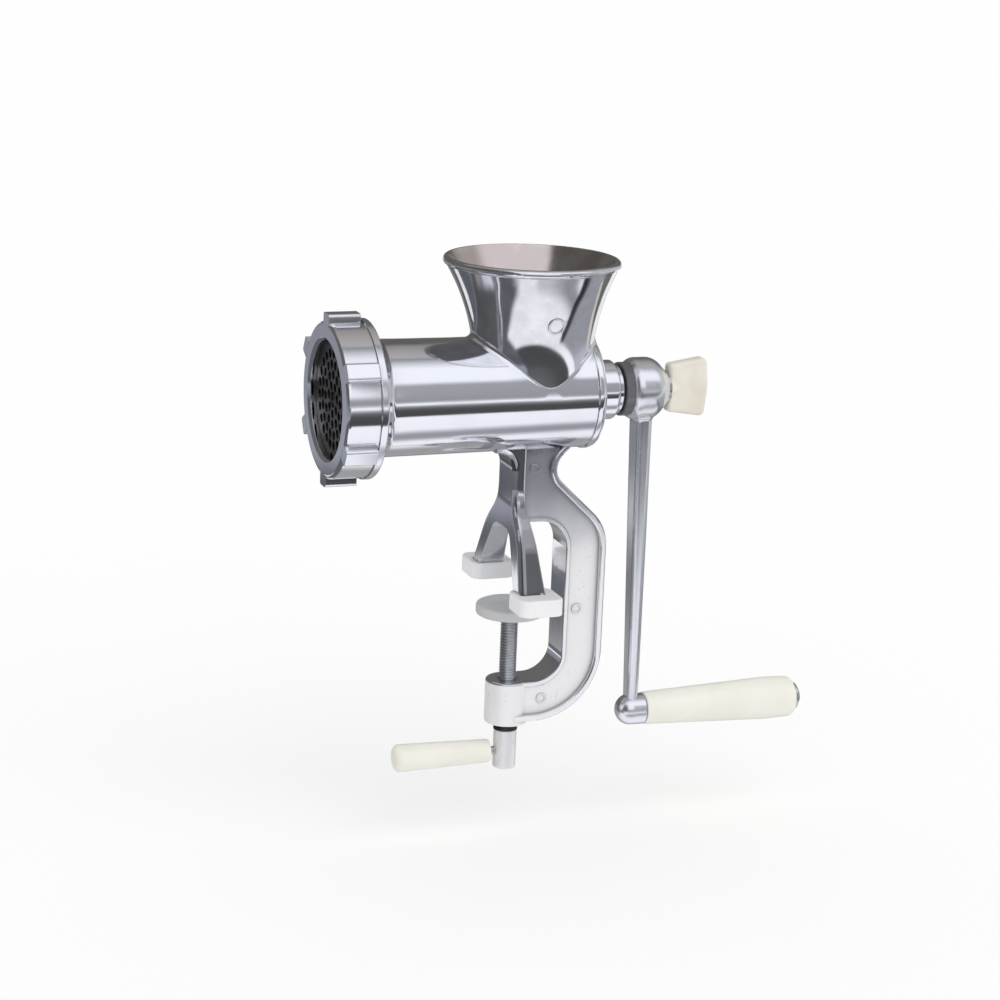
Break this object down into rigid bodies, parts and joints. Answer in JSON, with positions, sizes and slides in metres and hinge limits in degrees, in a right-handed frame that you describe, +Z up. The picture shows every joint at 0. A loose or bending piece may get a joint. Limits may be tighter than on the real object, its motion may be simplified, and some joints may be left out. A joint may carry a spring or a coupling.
{
  "type": "hand crank meat grinder",
  "caption": "Cast aluminium meat grinder with feed hopper, ring nut over a perforated plate, side crank with plastic grip and a screw clamp for a table edge.",
  "frame": {"origin": "where the clamp screw's axis meets the table top, which is the plane of the foot pads' undersides", "axes": "+Z up along the clamp screw; X along the barrel, outlet towards -X and crank towards +X; Y across the clamp frame"},
  "size_m": [0.2665, 0.094, 0.2652],
  "materials": {
    "polished_aluminium": "polished casting",
    "cast_aluminium": "satin casting",
    "plate_steel": "ground steel",
    "bright_steel": "turned steel",
    "screw_steel": "threaded steel",
    "dark_steel": "blackened steel",
    "bush_bronze": "sintered bronze",
    "dark_plastic": "moulded nylon",
    "cream_plastic": "moulded, half gloss",
    "white_plastic": "moulded, soft sheen"
  },
  "bodies": {
    "frame": {"body_casting": "polished_aluminium", "plate_key_pin": "bright_steel", "rear_bush": "bush_bronze", "foot_pad_near": "white_plastic", "foot_pad_far": "white_plastic"},
    "crank": {"auger": "cast_aluminium", "auger_front_stud": "bright_steel", "auger_rear_shaft": "bright_steel", "cutter_knife": "plate_steel", "thrust_washer": "bright_steel", "crank_spacer_washer": "dark_plastic", "crank_arm": "polished_aluminium", "grip_spindle": "bright_steel", "grip_washer": "bright_steel"},
    "grip": {"crank_grip": "cream_plastic"},
    "plate": {"cutter_plate": "plate_steel"},
    "ring": {"ring_nut": "polished_aluminium"},
    "thumb_washer": {"thumb_screw_washer": "bright_steel"},
    "thumb_screw": {"thumb_screw_stud": "bright_steel", "thumb_screw_wing": "cream_plastic"},
    "clamp_pad": {"pressure_pad": "white_plastic", "pressure_plate": "bright_steel"},
    "clamp_screw": {"clamp_screw": "screw_steel", "lever_washer": "dark_steel", "lever_head": "cast_aluminium", "lever_core": "bright_steel", "clamp_lever": "cream_plastic"}
  },
  "joints": [
    {"name": "crank_turn", "type": "hinge", "parent": "frame", "child": "crank", "pos_m": [0, 0, 0.103], "axis": [1, 0, 0], "continuous": true},
    {"name": "grip_spin", "type": "hinge", "parent": "crank", "child": "grip", "pos_m": [0.12, 0, -0.0685], "axis": [1, 0, 0], "continuous": true},
    {"name": "plate_slide", "type": "slide", "parent": "frame", "child": "plate", "axis": [-1, 0, 0], "range_m": [0, 0.012]},
    {"name": "ring_nut_turn", "type": "hinge", "parent": "plate", "child": "ring", "pos_m": [-0.09, 0, 0.103], "axis": [-1, 0, 0], "range_deg": [0, 1440]},
    {"name": "thumb_slide", "type": "slide", "parent": "crank", "child": "thumb_washer", "axis": [1, 0, 0], "range_m": [0, 0.01]},
    {"name": "thumb_screw_turn", "type": "hinge", "parent": "thumb_washer", "child": "thumb_screw", "pos_m": [0.08, 0, 0.103], "axis": [1, 0, 0], "range_deg": [0, 3600]},
    {"name": "pad_slide", "type": "slide", "parent": "frame", "child": "clamp_pad", "axis": [0, 0, 1], "range_m": [-0.033, 0.0015]},
    {"name": "clamp_turn", "type": "hinge", "parent": "clamp_pad", "child": "clamp_screw", "pos_m": [0, 0, -0.06], "axis": [0, 0, 1], "range_deg": [-7920, 360]}
  ],
  "couplings": [
    {"joint": "plate_slide", "follows": "ring_nut_turn", "m_per_rad": 0.00047746},
    {"joint": "thumb_slide", "follows": "thumb_screw_turn", "m_per_rad": 0.00015915},
    {"joint": "pad_slide", "follows": "clamp_turn", "m_per_rad": 0.00023873}
  ]
}
